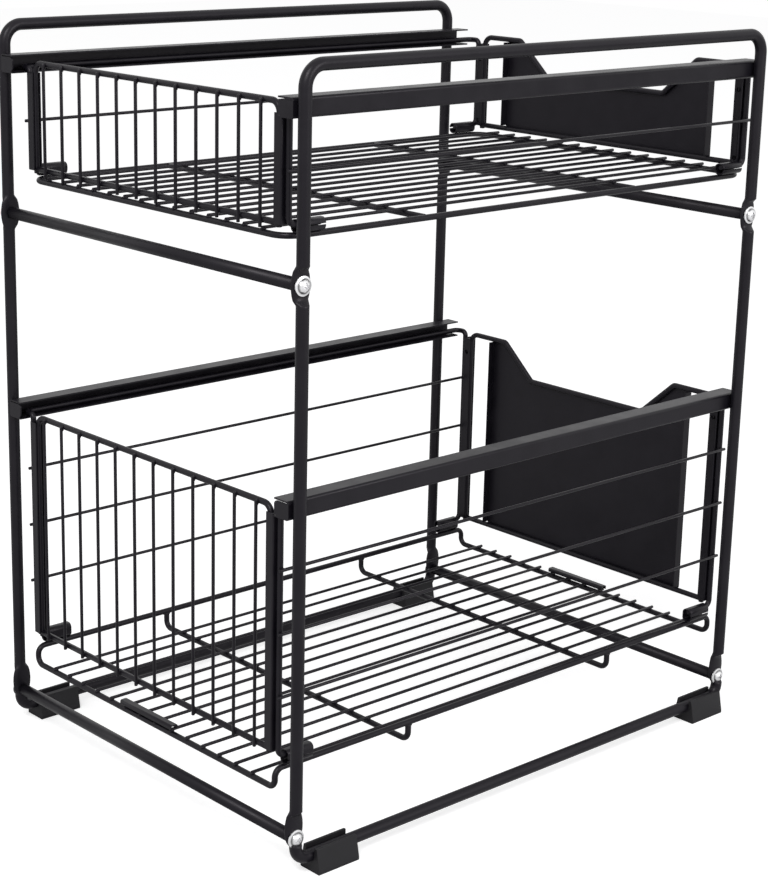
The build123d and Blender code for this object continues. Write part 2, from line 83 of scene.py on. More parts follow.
class Pull:
    """A shader socket that takes part in Python arithmetic."""

    def __init__(self, bench: "Bench", socket: bpy.types.NodeSocket) -> None:
        """Wrap a socket of a node on the bench."""
        self.bench = bench
        self.socket = socket

    def _math(self, word: str, *values: "Pull | float") -> "Pull":
        """Add a Math node and return its result."""
        inputs = {number: value for number, value in enumerate(values)}
        return self.bench.node("ShaderNodeMath", {"operation": word}, inputs)

    def __add__(self, other: "Pull | float") -> "Pull":
        """Sum."""
        return self._math("ADD", self, other)

    __radd__ = __add__

    def __sub__(self, other: "Pull | float") -> "Pull":
        """Difference."""
        return self._math("SUBTRACT", self, other)

    def __rsub__(self, other: "Pull | float") -> "Pull":
        """Difference, the other way round."""
        return self._math("SUBTRACT", other, self)

    def __mul__(self, other: "Pull | float") -> "Pull":
        """Product."""
        return self._math("MULTIPLY", self, other)

    __rmul__ = __mul__

    def __truediv__(self, other: "Pull | float") -> "Pull":
        """Quotient."""
        return self._math("DIVIDE", self, other)

    def __rtruediv__(self, other: "Pull | float") -> "Pull":
        """Quotient, the other way round."""
        return self._math("DIVIDE", other, self)

    def __pow__(self, other: "Pull | float") -> "Pull":
        """Power."""
        return self._math("POWER", self, other)

    def __rpow__(self, other: "Pull | float") -> "Pull":
        """Power, the other way round."""
        return self._math("POWER", other, self)

    def size(self) -> "Pull":
        """The value without its sign."""
        return self._math("ABSOLUTE", self)

    def least(self, other: "Pull | float") -> "Pull":
        """The smaller of two values."""
        return self._math("MINIMUM", self, other)

    def most(self, other: "Pull | float") -> "Pull":
        """The larger of two values."""
        return self._math("MAXIMUM", self, other)

    def clamp(self, low: float, high: float) -> "Pull":
        """Keep the value between two bounds."""
        return self.most(low).least(high)

    def span(self, low: float, high: float) -> "Pull":
        """Stretch the part of the value between two bounds over 0 to 1."""
        return ((self - low) / (high - low)).clamp(0.0, 1.0)


class Bench:
    """Builds the nodes of one material or of the surround."""

    def __init__(self, owner: bpy.types.Material | bpy.types.World) -> None:
        """Clear the owner's node tree and work on it."""
        self.owner = owner
        owner.use_nodes = True
        self.tree = owner.node_tree
        self.tree.nodes.clear()

    @classmethod
    def material(cls, name: str) -> "Bench":
        """Start an empty material of this name."""
        return cls(bpy.data.materials.new(name))

    def node(self, kind: str, settings: dict, inputs: dict, output: int | str = 0) -> Pull:
        """Add one node and fill its sockets.

        Args:
            kind: the node's type name.
            settings: properties set first; "stops" fills a colour ramp.
            inputs: socket name or number to a value or a Pull.
            output: the socket to return.

        Returns:
            The node's chosen output.
        """
        node = self.tree.nodes.new(kind)
        for key, value in settings.items():
            if key == "stops":
                ramp = node.color_ramp.elements
                while len(ramp) < len(value):
                    ramp.new(0.5)
                for element, (at, colour) in zip(ramp, value):
                    element.position = at
                    element.color = colour
            else:
                setattr(node, key, value)
        for key, value in inputs.items():
            if isinstance(value, Pull):
                self.tree.links.new(value.socket, node.inputs[key])
            else:
                node.inputs[key].default_value = value
        return Pull(self, node.outputs[output])

    def place(self) -> Pull:
        """The piece's own coordinates, in metres."""
        return self.node("ShaderNodeTexCoord", {}, {}, "Object")

    def axis(self, word: str) -> Pull:
        """One of the piece's own coordinates, in metres."""
        return self.node("ShaderNodeSeparateXYZ", {}, {"Vector": self.place()}, word)

    def noise(self, scale: float, detail: float = 2.0, roughness: float = 0.5) -> Pull:
        """Noise over the piece's coordinates.

        Args:
            scale: cells per metre.
            detail: octaves.
            roughness: strength of the finer octaves.

        Returns:
            The noise value, about 0 to 1.
        """
        return self.node(
            "ShaderNodeTexNoise",
            {},
            {"Vector": self.place(), "Scale": scale, "Detail": detail, "Roughness": roughness},
            "Fac",
        )

    def blend(self, factor: Pull, first: tuple, second: tuple) -> Pull:
        """Mix two colours.

        Args:
            factor: 0 gives the first colour, 1 the second.
            first: red, green and blue.
            second: red, green and blue.

        Returns:
            The mixed colour.
        """
        return self.node(
            "ShaderNodeMix",
            {"data_type": "RGBA"},
            {0: factor, 6: (*first, 1.0), 7: (*second, 1.0)},
            2,
        )

    def bump(self, height: Pull, distance: float, strength: float = 1.0) -> Pull:
        """Turn a height field into a normal.

        Args:
            height: the field, about 0 to 1.
            distance: how high 1 stands, in metres.
            strength: share of the effect.

        Returns:
            The bent normal.
        """
        return self.node(
            "ShaderNodeBump",
            {},
            {"Height": height, "Distance": distance, "Strength": strength},
        )

    def close(self, kind: str, shader: Pull) -> None:
        """Join the last shader to an output node of this kind."""
        output = self.tree.nodes.new(kind)
        self.tree.links.new(shader.socket, output.inputs["Surface"])

    def surface(self, inputs: dict) -> bpy.types.Material:
        """Close the material with one Principled surface.

        Args:
            inputs: socket name to a value or a Pull.

        Returns:
            The finished material.
        """
        self.close("ShaderNodeOutputMaterial", self.node("ShaderNodeBsdfPrincipled", {}, inputs))
        return self.owner


# -------------------------------------------------------------------- finishes


@dataclass(frozen=True)
class PowderCoat:
    """Satin black powder coat: a fine orange peel over a near-black ground."""

    name: str
    ground: tuple = (0.0048, 0.0042, 0.0066)
    bloom: tuple = (0.0074, 0.0067, 0.0094)
    roughness: float = 0.33
    peel_scale: float = 900.0
    peel_depth: float = 0.00003

    def material(self) -> bpy.types.Material:
        """Build the coat."""
        bench = Bench.material(self.name)
        cloud = bench.noise(55.0, 3.0).span(0.35, 0.68)
        peel = bench.noise(self.peel_scale, 2.0, 0.45)
        grit = bench.noise(self.peel_scale * 4.2, 1.0)
        rough = self.roughness - 0.045 + 0.07 * cloud + 0.05 * grit
        return bench.surface(
            {
                "Base Color": bench.blend(cloud, self.ground, self.bloom),
                "Roughness": rough.clamp(0.05, 1.0),
                "Specular IOR Level": 0.23,
                "Specular Tint": (1.0, 0.95, 1.0, 1.0),
                "Normal": bench.bump(peel + 0.25 * grit, self.peel_depth),
            }
        )


@dataclass(frozen=True)
class ZincPlate:
    """Bright zinc plating, with painted shade in the groove round each screw's raised head."""

    name: str
    post_y: float = 205.0
    seats_z: tuple = (25.6, 371.4)
    groove: float = 4.35
    groove_half: float = 0.8
    groove_dullness: float = 0.86

    def material(self) -> bpy.types.Material:
        """Build the plating."""
        bench = Bench.material(self.name)
        bloom = bench.noise(420.0, 4.0).span(0.35, 0.7)
        specks = bench.noise(2600.0, 1.0)
        # distance from the nearest screw's axis, in millimetres
        across = ((bench.axis("Y") - FRAME_CENTRE_Y / 1000).size() - self.post_y / 1000) * 1000
        low, high = ((bench.axis("Z") - z / 1000).size() * 1000 for z in self.seats_z)
        reach = (across * across + low.least(high) ** 2.0) ** 0.5
        # painted shade: a dark ring round the root of each raised head, standing in for the
        # shadow and dark reflections there
        groove = 1.0 - ((reach - self.groove).size() / self.groove_half).clamp(0.0, 1.0)
        shaded_plating = 1.0 - self.groove_dullness * groove
        return bench.surface(
            {
                # the base colour carries the painted shade ring as well as a random tone
                "Base Color": bench.blend(
                    shaded_plating - 0.10 * bloom, (0.03, 0.03, 0.032), (0.90, 0.90, 0.91)
                ),
                "Metallic": 1.0,
                "Roughness": 0.20 + 0.16 * bloom + 0.05 * specks,
                "Normal": bench.bump(bloom + 0.3 * specks, 0.00001),
            }
        )


@dataclass(frozen=True)
class PlainSteel:
    """Cut steel of the threaded plugs, with a thread-fine ripple."""

    name: str

    def material(self) -> bpy.types.Material:
        """Build the steel."""
        bench = Bench.material(self.name)
        stain = bench.noise(300.0, 3.0).span(0.3, 0.7)
        return bench.surface(
            {
                "Base Color": bench.blend(stain, (0.45, 0.44, 0.42), (0.60, 0.60, 0.60)),
                "Metallic": 1.0,
                "Roughness": 0.34 + 0.18 * stain,
                "Normal": bench.bump(bench.noise(1800.0, 2.0), 0.00002),
            }
        )


@dataclass(frozen=True)
class MouldedPlastic:
    """Black plastic of the feet with a spark-eroded grain."""

    name: str

    def material(self) -> bpy.types.Material:
        """Build the plastic."""
        bench = Bench.material(self.name)
        cloud = bench.noise(90.0, 3.0).span(0.3, 0.7)
        grain = bench.noise(1700.0, 2.0, 0.6)
        return bench.surface(
            {
                "Base Color": bench.blend(
                    cloud, (0.0075, 0.0070, 0.0085), (0.0110, 0.0105, 0.0125)
                ),
                "Roughness": 0.50 + 0.10 * cloud + 0.06 * grain,
                "Specular IOR Level": 0.3,
                "Normal": bench.bump(grain, 0.00005),
            }
        )


# ----------------------------------------------------------------- wire forming


# A cut end's dome: each step's rise in wire radii, and the ring's size to the last one.
DOME_STEPS = ((0.16, 0.93), (0.09, 0.82), (0.05, 0.6), (0.02, 0.45))
DOME_RISE = sum(rise for rise, _ in DOME_STEPS)


@dataclass
class WireFormer:
    """Forms round wire or tube as a bending machine does: straight feeds and arcs.

    Attributes:
        radius: the wire's radius in metres.
        sides: faces round the wire.
        arc_step: the turn of one facet of a bend, in degrees.
    """

    radius: float
    sides: int = 16
    arc_step: float = 9.0
    mesh: bmesh.types.BMesh = field(default_factory=bmesh.new)

    def ring(self, centre: Vector, along: Vector) -> list:
        """Lay a ring of edges across the wire's axis.

        Args:
            centre: the ring's centre.
            along: the way of the wire.

        Returns:
            The ring's edges.
        """
        turn = along.to_track_quat("Z", "Y").to_matrix().to_4x4()
        made = bmesh.ops.create_circle(
            self.mesh,
            segments=self.sides,
            radius=self.radius,
            matrix=Matrix.Translation(centre) @ turn,
        )
        return list({edge for vert in made["verts"] for edge in vert.link_edges})

    def feed(self, ring: list, by: Vector, scale: float = 1.0) -> list:
        """Push a ring straight on and return the new ring.

        Args:
            ring: the edges to extrude.
            by: the way and distance.
            scale: the new ring's size relative to the last one.

        Returns:
            The new ring's edges.
        """
        made = bmesh.ops.extrude_edge_only(self.mesh, edges=ring)["geom"]
        verts = [item for item in made if isinstance(item, bmesh.types.BMVert)]
        bmesh.ops.translate(self.mesh, verts=verts, vec=by)
        if scale != 1.0:
            centre = sum((vert.co for vert in verts), Vector()) / len(verts)
            bmesh.ops.scale(
                self.mesh,
                verts=verts,
                vec=(scale, scale, scale),
                space=Matrix.Translation(-centre),
            )
        fresh = set(verts)
        return [
            item
            for item in made
            if isinstance(item, bmesh.types.BMEdge) and set(item.verts) <= fresh
        ]

    def bend(self, ring: list, centre: Vector, axis: Vector, angle: float) -> list:
        """Turn a ring round a centre.

        Args:
            ring: the edges to spin.
            centre: the bend's centre.
            axis: the axis of the turn.
            angle: the turn, in radians.

        Returns:
            The last ring's edges.
        """
        verts = list({vert for edge in ring for vert in edge.verts})
        made = bmesh.ops.spin(
            self.mesh,
            geom=ring + verts,
            cent=centre,
            axis=axis,
            angle=angle,
            steps=max(2, math.ceil(math.degrees(angle) / self.arc_step)),
            use_duplicate=False,
        )["geom_last"]
        return [item for item in made if isinstance(item, bmesh.types.BMEdge)]

    def dome(self, ring: list, way: Vector) -> None:
        """Close a wire end with a low dome, as a coated cut end has.

        Args:
            ring: the last ring of the wire.
            way: outward along the wire.
        """
        for rise, scale in DOME_STEPS:
            ring = self.feed(ring, way * self.radius * rise, scale)
        bmesh.ops.holes_fill(self.mesh, edges=ring, sides=self.sides)

    def run(self, corners: list, radii: list, closed: bool = False) -> None:
        """Form one run of wire.

        Args:
            corners: the points where straight lengths would meet.
            radii: the centreline radius at each inner corner.
            closed: whether the run ends where it starts, inside a straight length.
        """
        ways = [(b - a).normalized() for a, b in zip(corners, corners[1:])]
        turns = [first.angle(second) for first, second in zip(ways, ways[1:])]
        tangents = [radius * math.tan(turn / 2) for radius, turn in zip(radii, turns)]
        trims = [0.0, *tangents, 0.0]
        dome = 0.0 if closed else DOME_RISE * self.radius
        ring = self.ring(corners[0] + ways[0] * dome, ways[0])
        if not closed:
            self.dome(ring, -ways[0])
        for index, way in enumerate(ways):
            length = (corners[index + 1] - corners[index]).length
            length -= trims[index] + trims[index + 1]
            if index == 0:
                length -= dome
            if index == len(ways) - 1:
                length -= dome
            ring = self.feed(ring, way * length)
            if index < len(turns):
                axis = way.cross(ways[index + 1]).normalized()
                inward = axis.cross(way).normalized()
                start = corners[index + 1] - way * tangents[index]
                ring = self.bend(ring, start + inward * radii[index], axis, turns[index])
        if not closed:
            self.dome(ring, ways[-1])

    def straight(self, start: Vector, end: Vector) -> None:
        """Form one straight wire with domed ends."""
        self.run([start, end], [])

    def weld(self, at: Vector, along: Vector, size: tuple) -> None:
        """Lay a small weld nugget where two wires cross.

        Args:
            at: its centre.
            along: the way of its longest axis.
            size: its half lengths along, across and up, in metres.
        """
        turn = along.to_track_quat("X", "Z").to_matrix().to_4x4()
        shape = Matrix.Diagonal((*size, 1.0))
        bmesh.ops.create_icosphere(
            self.mesh,
            subdivisions=2,
            radius=1.0,
            matrix=Matrix.Translation(at) @ turn @ shape,
        )

    def piece(
        self, name: str, body: str, slot: str, finish: bpy.types.Material
    ) -> bpy.types.Object:
        """Close the mesh into an object.

        Args:
            name: the piece's name.
            body: the body it rides on.
            slot: not used.
            finish: its material.

        Returns:
            The finished object.
        """
        bmesh.ops.remove_doubles(self.mesh, verts=self.mesh.verts, dist=1e-7)
        bmesh.ops.recalc_face_normals(self.mesh, faces=self.mesh.faces)
        return settle(self.mesh, name, body, finish)


def settle(
    mesh: bmesh.types.BMesh,
    name: str,
    body: str,
    finish: bpy.types.Material,
    smooth: bool = True,
) -> bpy.types.Object:
    """Turn a bmesh into a piece that rides on a body.

    Args:
        mesh: the finished bmesh, freed here.
        name: the piece's name.
        body: the body it rides on.
        finish: its material.
        smooth: whether its faces are shaded smooth.

    Returns:
        The finished object.
    """
    for face in mesh.faces:
        face.smooth = smooth
    data = bpy.data.meshes.new(name)
    mesh.to_mesh(data)
    mesh.free()
    data.materials.append(finish)
    piece = bpy.data.objects.new(name, data)
    bpy.context.scene.collection.objects.link(piece)
    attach(piece, body)
    log.info("%s: %d faces on %s", name, len(data.polygons), body)
    return piece


def dress(node: str, finish: bpy.types.Material, round_by: float = 0.0) -> None:
    """Give a carried-over CAD piece its finish and, if asked, rounded edges.

    Args:
        node: the CAD node's name.
        finish: its material.
        round_by: the edge radius in metres, or 0 for none.
    """
    piece = frame["nodes"][node]
    piece.data.materials.clear()
    piece.data.materials.append(finish)
    if round_by:
        weld = piece.modifiers.new("merge", "WELD")
        weld.merge_threshold = 1e-6
        bevel = piece.modifiers.new("edges", "BEVEL")
        bevel.width = round_by
        bevel.segments = 2
        bevel.limit_method = "ANGLE"
        bevel.angle_limit = math.radians(50)
        bevel.harden_normals = True
    log.info("%s: dressed", node)


# ------------------------------------------------------------------- the frame


@dataclass
class TubeFrame:
    """The four-post frame: two tube loops, four cross tubes, screws, plugs and feet."""

    coat: bpy.types.Material
    zinc: bpy.types.Material
    steel: bpy.types.Material
    plastic: bpy.types.Material
    tube_radius: float = 4.0
    tube_wall: float = 1.0
    sides: int = 28
    arc_step: float = 5.0
    join: float = 2e-6
    foot_edge: float = 0.0004
    half_x: float = 153.2
    half_y: float = 205.0
    top_z: float = 496.2
    bottom_z: float = 11.0
    top_bend: float = 13.0
    bottom_bend: float = 9.0
    seats_z: tuple = (25.6, 371.4)
    seat_half: float = 12.5
    seat_spread: float = 1.8
    seat_squeeze: float = 0.5
    seat_pad_half: float = 14.0
    seat_flat: float = 8.5
    seat_slope: float = 3.0
    seat_rises: tuple = (-11.5, -10.5, -9.5, -8.5, -6, -3, 0, 3, 6, 8.5, 9.5, 10.5, 11.5, 12.5)

    def build(self) -> None:
        """Build every piece of the frame."""
        for side in Side:
            self.loop(side)
        for end, y in (("front", -self.half_y), ("rear", self.half_y)):
            for word, z in zip(("lower", "upper"), self.seats_z):
                self.cross_tube(f"cross_tube_{end}_{word}", y, z)
        dress("frame_screws", self.zinc)
        dress("tube_plugs", self.steel)
        for end in ("front", "rear"):
            for side in Side:
                dress(f"foot_{end}_{side.word}", self.plastic, self.foot_edge)

    def press(self, former: WireFormer, ring: list, x: float, sign: int, z: float) -> list:
        """Feed a post's tube up through one pressed screw seat.

        Args:
            former: the tube former.
            ring: the tube's ring at the seat's lower edge.
            x: the post's axis.
            sign: which way is outward.
            z: the seat's centre.

        Returns:
            The ring at the seat's upper edge.
        """
        last_flat, last_wide, last_rise = 1.0, 1.0, -self.seat_half
        centre_y = sum(
            (vert.co.y for edge in ring for vert in edge.verts), 0.0
        ) / (2 * len(ring))
        for rise in self.seat_rises:
            down_slope = (self.seat_flat + self.seat_slope - abs(rise)) / self.seat_slope
            pressed = min(1.0, max(0.0, down_slope))
            flat = 1 - self.seat_squeeze * pressed
            wide = max(1.0, self.seat_spread * math.sqrt(1 - (rise / self.seat_pad_half) ** 2))
            ring = former.feed(ring, Vector((0, 0, (rise - last_rise) / 1000)))
            last_rise = rise
            verts = list({vert for edge in ring for vert in edge.verts})
            inner = Vector(((x - sign * self.tube_radius) / 1000, centre_y, z / 1000))
            bmesh.ops.scale(
                former.mesh,
                verts=verts,
                vec=(flat / last_flat, wide / last_wide, 1.0),
                space=Matrix.Translation(-inner),
            )
            last_flat, last_wide = flat, wide
        return ring

    def loop(self, side: Side) -> None:
        """Build one closed side loop with its four pressed seats.

        Args:
            side: which loop.
        """
        sign = side.value
        x = sign * self.half_x
        former = WireFormer(self.tube_radius / 1000, sides=self.sides, arc_step=self.arc_step)
        y, low, high = self.half_y, self.bottom_z, self.top_z
        up, along = Vector((0, 0, 1)), Vector((0, 1, 0))
        for way in (1, -1):
            ring = former.ring(place(x, 0, low), along * way)
            ring = former.feed(ring, along * way * (y - self.bottom_bend) / 1000)
            centre = place(x, way * (y - self.bottom_bend), low + self.bottom_bend)
            axis = (along * way).cross(up)
            ring = former.bend(ring, centre, axis, math.pi / 2)
            reached = low + self.bottom_bend
            for seat in self.seats_z:
                start = seat - self.seat_half
                if start > reached:
                    ring = former.feed(ring, up * (start - reached) / 1000)
                    reached = start
                ring = self.press(former, ring, x, sign, seat)
                reached += 2 * self.seat_half
            ring = former.feed(ring, up * (high - self.top_bend - reached) / 1000)
            centre = place(x, way * (y - self.top_bend), high - self.top_bend)
            axis = up.cross(along * -way)
            ring = former.bend(ring, centre, axis, math.pi / 2)
            former.feed(ring, along * -way * (y - self.top_bend) / 1000)
        bmesh.ops.remove_doubles(former.mesh, verts=former.mesh.verts, dist=self.join)
        name = f"tube_loop_{side.word}"
        piece = former.piece(name, "frame", "tube_coating", self.coat)
        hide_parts(f"side_frame_{side.word}")

    def cross_tube(self, node: str, y: float, z: float) -> None:
        """Build one cross tube between the posts' inner faces.

        Args:
            node: the CAD node that it stands for.
            y: its place along the rack.
            z: its height.
        """
        former = WireFormer(self.tube_radius / 1000, sides=self.sides)
        reach = self.half_x - self.tube_radius
        ring = former.ring(place(-reach, y, z), Vector((1, 0, 0)))
        former.feed(ring, Vector((2 * reach / 1000, 0, 0)))
        name = node.replace("cross_tube", "spacer")
        piece = former.piece(name, "frame", "tube_coating", self.coat)
        wall = piece.modifiers.new("wall", "SOLIDIFY")
        wall.thickness = self.tube_wall / 1000
        wall.offset = -1.0
        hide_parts(node)


@dataclass
class SlideRails:
    """The four folded channels that the baskets slide in."""

    coat: bpy.types.Material
    edge: float = 0.00025

    def build(self) -> None:
        """Dress the four rails."""
        for level in Level:
            for side in Side:
                dress(f"rail_{level.value}_{side.word}", self.coat, self.edge)


# ----------------------------------------------------------------- the baskets


@dataclass
class BasketSizes:
    """Heights and pitches that differ between the two baskets, in millimetres."""

    shift: float
    slider_z: float
    rear_wire_z: float
    ear_wire_z: float
    bottom_wire_z: float
    stub_z: float
    rim_side_z: float
    rim_end_z: float
    side_grid_z: tuple
    vertical_pitch: float
    longitudinal_pitch: float
    upright_over: float


@dataclass
class Basket:
    """One sliding basket: side wires, end panels, pull panel and tray.

    Sizes are in millimetres, but for edge radii and weld sizes, which are in metres.
    """

    level: Level
    sizes: BasketSizes
    coat: bpy.types.Material
    sheet_coat: bpy.types.Material
    wire: float = 2.0
    grid: float = 1.1
    sink: float = 0.3
    leg_x: float = 132.5
    slider_x: float = 142.0
    leg_rear_y: float = 202.3
    leg_front_y: float = -216.5
    stub: float = 24.4
    panel_x: float = 125.2
    ear_x: float = 87.0
    notch_x: float = 57.0
    notch_drop: float = 26.5
    rim_x: float = 131.0
    rim_rear_y: float = 203.5
    rim_front_y: float = -218.0
    cross_offset: float = 97.5
    uprights: int = 12
    lengthwise: int = 14
    thin_sides: int = 12
    foot_bend: float = 5.0
    leg_bend: float = 3.4
    slider_bend: float = 4.6
    panel_bend: float = 7.0
    notch_bend: float = 4.5
    rim_bend: float = 12.0
    drop_bend: float = 5.6
    side_rear_over: float = 3.0
    side_front_over: float = 2.6
    panel_offset: float = 1.0
    panel_foot_over: float = 0.8
    upright_top_over: float = 0.6
    upright_top_weld_drop: float = 0.7
    bottom_wire_half: float = 127.0
    cross_butt: float = 0.6
    tray_rear_over: float = 1.0
    tray_front_over: float = 3.2
    sheet_half: float = 101.5
    sheet_thick: float = 0.8
    sheet_fold: float = 6.8
    sheet_rise: float = 1.0
    fold_gap: float = 0.3
    sheet_bend_cut: float = 1.7
    sheet_corner_cut: float = 1.2
    fold_edge: float = 0.0002
    sheet_edge: float = 0.00022
    side_weld: tuple = (0.0026, 0.0013, 0.0012)
    upright_weld: tuple = (0.0024, 0.0013, 0.0012)
    rim_weld: tuple = (0.0032, 0.0021, 0.0012)
    tray_weld: tuple = (0.0024, 0.0013, 0.0011)

    def build(self) -> None:
        """Build every piece of the basket."""
        for side in Side:
            self.side_wire(side)
        self.rear_panel()
        self.pull_hoop()
        self.pull_sheet()
        self.tray()
        word = self.level.value
        for end in ("front", "rear"):
            for side in Side:
                dress(f"{word}_sleeve_{end}_{side.word}", self.coat, self.fold_edge)
        dress(f"{word}_tray_hooks", self.coat, self.fold_edge)
        if self.level is Level.LOWER:
            dress(f"{word}_tray_clips", self.coat, self.fold_edge)

    @property
    def rear_y(self) -> float:
        """Where the rear legs stand."""
        return self.leg_rear_y + self.sizes.shift

    @property
    def front_y(self) -> float:
        """Where the front legs stand."""
        return self.leg_front_y + self.sizes.shift

    @property
    def stand(self) -> float:
        """Distance between the axes of a frame wire and a grid wire welded on it."""
        return self.wire + self.grid - self.sink

    def spread(self, count: int, pitch: float) -> list:
        """Positions of count wires at one pitch about zero."""
        return [(index - (count - 1) / 2) * pitch for index in range(count)]

    def finish(self, former: WireFormer, piece_name: str, node: str) -> None:
        """Close a wire piece and let it stand for its CAD node.

        Args:
            former: the former that holds the mesh.
            piece_name: the piece's name without its level.
            node: the CAD node's name without its level.
        """
        word = self.level.value
        piece = former.piece(
            f"{word}_{piece_name}", self.level.body, "wire_coating", self.coat
        )
        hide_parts(f"{word}_{node}")

    def formers(self) -> tuple:
        """Two formers that share one mesh, for frame wire and for grid wire."""
        thick = WireFormer(self.wire / 1000)
        thin = WireFormer(self.grid / 1000, sides=self.thin_sides, mesh=thick.mesh)
        return thick, thin

    def side_wire(self, side: Side) -> None:
        """Form a slider with its two legs and the fine wires between them.

        Args:
            side: which side of the basket.
        """
        size, sign = self.sizes, side.value
        thick, thin = self.formers()
        rear, front = self.rear_y, self.front_y
        leg, slide = sign * self.leg_x, sign * self.slider_x
        bends = (self.foot_bend, self.leg_bend, self.slider_bend)
        thick.run(
            [
                place(leg, rear - self.stub, size.stub_z),
                place(leg, rear, size.stub_z),
                place(leg, rear, size.slider_z),
                place(slide, rear, size.slider_z),
                place(slide, front, size.slider_z),
                place(leg, front, size.slider_z),
                place(leg, front, size.stub_z),
                place(leg, front + self.stub, size.stub_z),
            ],
            [bend / 1000 for bend in (*bends, *reversed(bends))],
        )
        outer = sign * (self.leg_x + self.stand)
        for z in size.side_grid_z:
            thin.straight(
                place(outer, rear + self.side_rear_over, z),
                place(outer, front - self.side_front_over, z),
            )
            for y in (rear, front):
                spot = place(sign * (self.leg_x + self.wire), y, z)
                thin.weld(spot, Vector((0, 1, 0)), self.side_weld)
        self.finish(thick, f"side_wires_{side.word}", f"side_wire_{side.word}")

    def rear_panel(self) -> None:
        """Form the rear hoop, its bottom wire and the uprights welded outside."""
        size = self.sizes
        thick, thin = self.formers()
        y, x = self.rear_y + self.panel_offset, self.panel_x
        foot = size.bottom_wire_z - self.wire - self.panel_foot_over
        thick.run(
            [
                place(-x, y, foot),
                place(-x, y, size.rear_wire_z),
                place(x, y, size.rear_wire_z),
                place(x, y, foot),
            ],
            [self.panel_bend / 1000] * 2,
        )
        thick.straight(place(-x, y, size.bottom_wire_z), place(x, y, size.bottom_wire_z))
        outer = y + self.stand
        low = size.bottom_wire_z - self.wire - size.upright_over
        for upright_x in self.spread(self.uprights, size.vertical_pitch):
            thin.straight(
                place(upright_x, outer, low),
                place(upright_x, outer, size.rear_wire_z + self.upright_top_over),
            )
            for z in (size.bottom_wire_z, size.rear_wire_z - self.upright_top_weld_drop):
                spot = place(upright_x, y + self.wire, z)
                thin.weld(spot, Vector((0, 0, 1)), self.upright_weld)
        self.finish(thick, "rear_grid", "rear_panel")

    def pull_hoop(self) -> None:
        """Form the eared hoop of the pull panel and its bottom wire."""
        size = self.sizes
        thick, _ = self.formers()
        y, x = self.front_y, self.panel_x
        foot = size.bottom_wire_z - self.wire - self.panel_foot_over
        ear, notch = size.ear_wire_z, size.ear_wire_z - self.notch_drop
        ends, bends = [self.panel_bend / 1000], [self.notch_bend / 1000] * 4
        thick.run(
            [
                place(-x, y, foot),
                place(-x, y, ear),
                place(-self.ear_x, y, ear),
                place(-self.notch_x, y, notch),
                place(self.notch_x, y, notch),
                place(self.ear_x, y, ear),
                place(x, y, ear),
                place(x, y, foot),
            ],
            ends + bends + ends,
        )
        thick.straight(
            place(-self.bottom_wire_half, y, size.bottom_wire_z),
            place(self.bottom_wire_half, y, size.bottom_wire_z),
        )
        self.finish(thick, "eared_hoop", "pull_hoop")

    def pull_sheet(self) -> None:
        """Cut, fold and round the notched sheet of the pull panel."""
        size = self.sizes
        half, thick, flange = self.sheet_half, self.sheet_thick, self.sheet_fold
        y = self.front_y - self.wire
        low = size.bottom_wire_z + self.sheet_rise
        ear, notch = size.ear_wire_z, size.ear_wire_z - self.notch_drop
        mesh = bmesh.new()
        outline = [
            (-half, low),
            (half, low),
            (half, ear),
            (self.ear_x, ear),
            (self.notch_x, notch),
            (-self.notch_x, notch),
            (-self.ear_x, ear),
            (-half, ear),
        ]
        verts = [mesh.verts.new(place(x, y, z)) for x, z in outline]
        mesh.faces.new(verts)
        bends = [vert for vert, (x, _) in zip(verts, outline) if abs(x) < half]
        corners = [vert for vert, (x, _) in zip(verts, outline) if abs(x) == half]
        for soft, offset in ((bends, self.sheet_bend_cut), (corners, self.sheet_corner_cut)):
            bmesh.ops.bevel(
                mesh,
                geom=soft,
                offset=offset / 1000,
                offset_type="OFFSET",
                segments=6,
                profile=0.5,
                affect="VERTICES",
                material=-1,
            )
        mesh.faces.ensure_lookup_table()
        face = max(mesh.faces, key=lambda item: item.calc_area())
        made = bmesh.ops.extrude_face_region(mesh, geom=[face])["geom"]
        moved = [item for item in made if isinstance(item, bmesh.types.BMVert)]
        bmesh.ops.translate(mesh, verts=moved, vec=Vector((0, -thick / 1000, 0)))
        fold_low = size.bottom_wire_z + self.wire + self.fold_gap
        fold_high = ear - self.wire - self.fold_gap
        for sign in (-1, 1):
            bmesh.ops.create_cube(
                mesh,
                size=1.0,
                matrix=Matrix.Translation(
                    place(
                        sign * (half - thick / 2),
                        y - thick + flange / 2,
                        (fold_low + fold_high) / 2,
                    )
                )
                @ Matrix.Diagonal(
                    (thick / 1000, flange / 1000, (fold_high - fold_low) / 1000, 1.0)
                ),
            )
        bmesh.ops.recalc_face_normals(mesh, faces=mesh.faces)
        word = self.level.value
        piece = settle(
            mesh,
            f"{word}_notched_sheet",
            self.level.body,
            self.sheet_coat,
            smooth=False,
        )
        edges = piece.modifiers.new("edges", "BEVEL")
        edges.width = self.sheet_edge
        edges.segments = 3
        edges.limit_method = "ANGLE"
        edges.angle_limit = math.radians(40)
        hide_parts(f"{word}_pull_sheet")

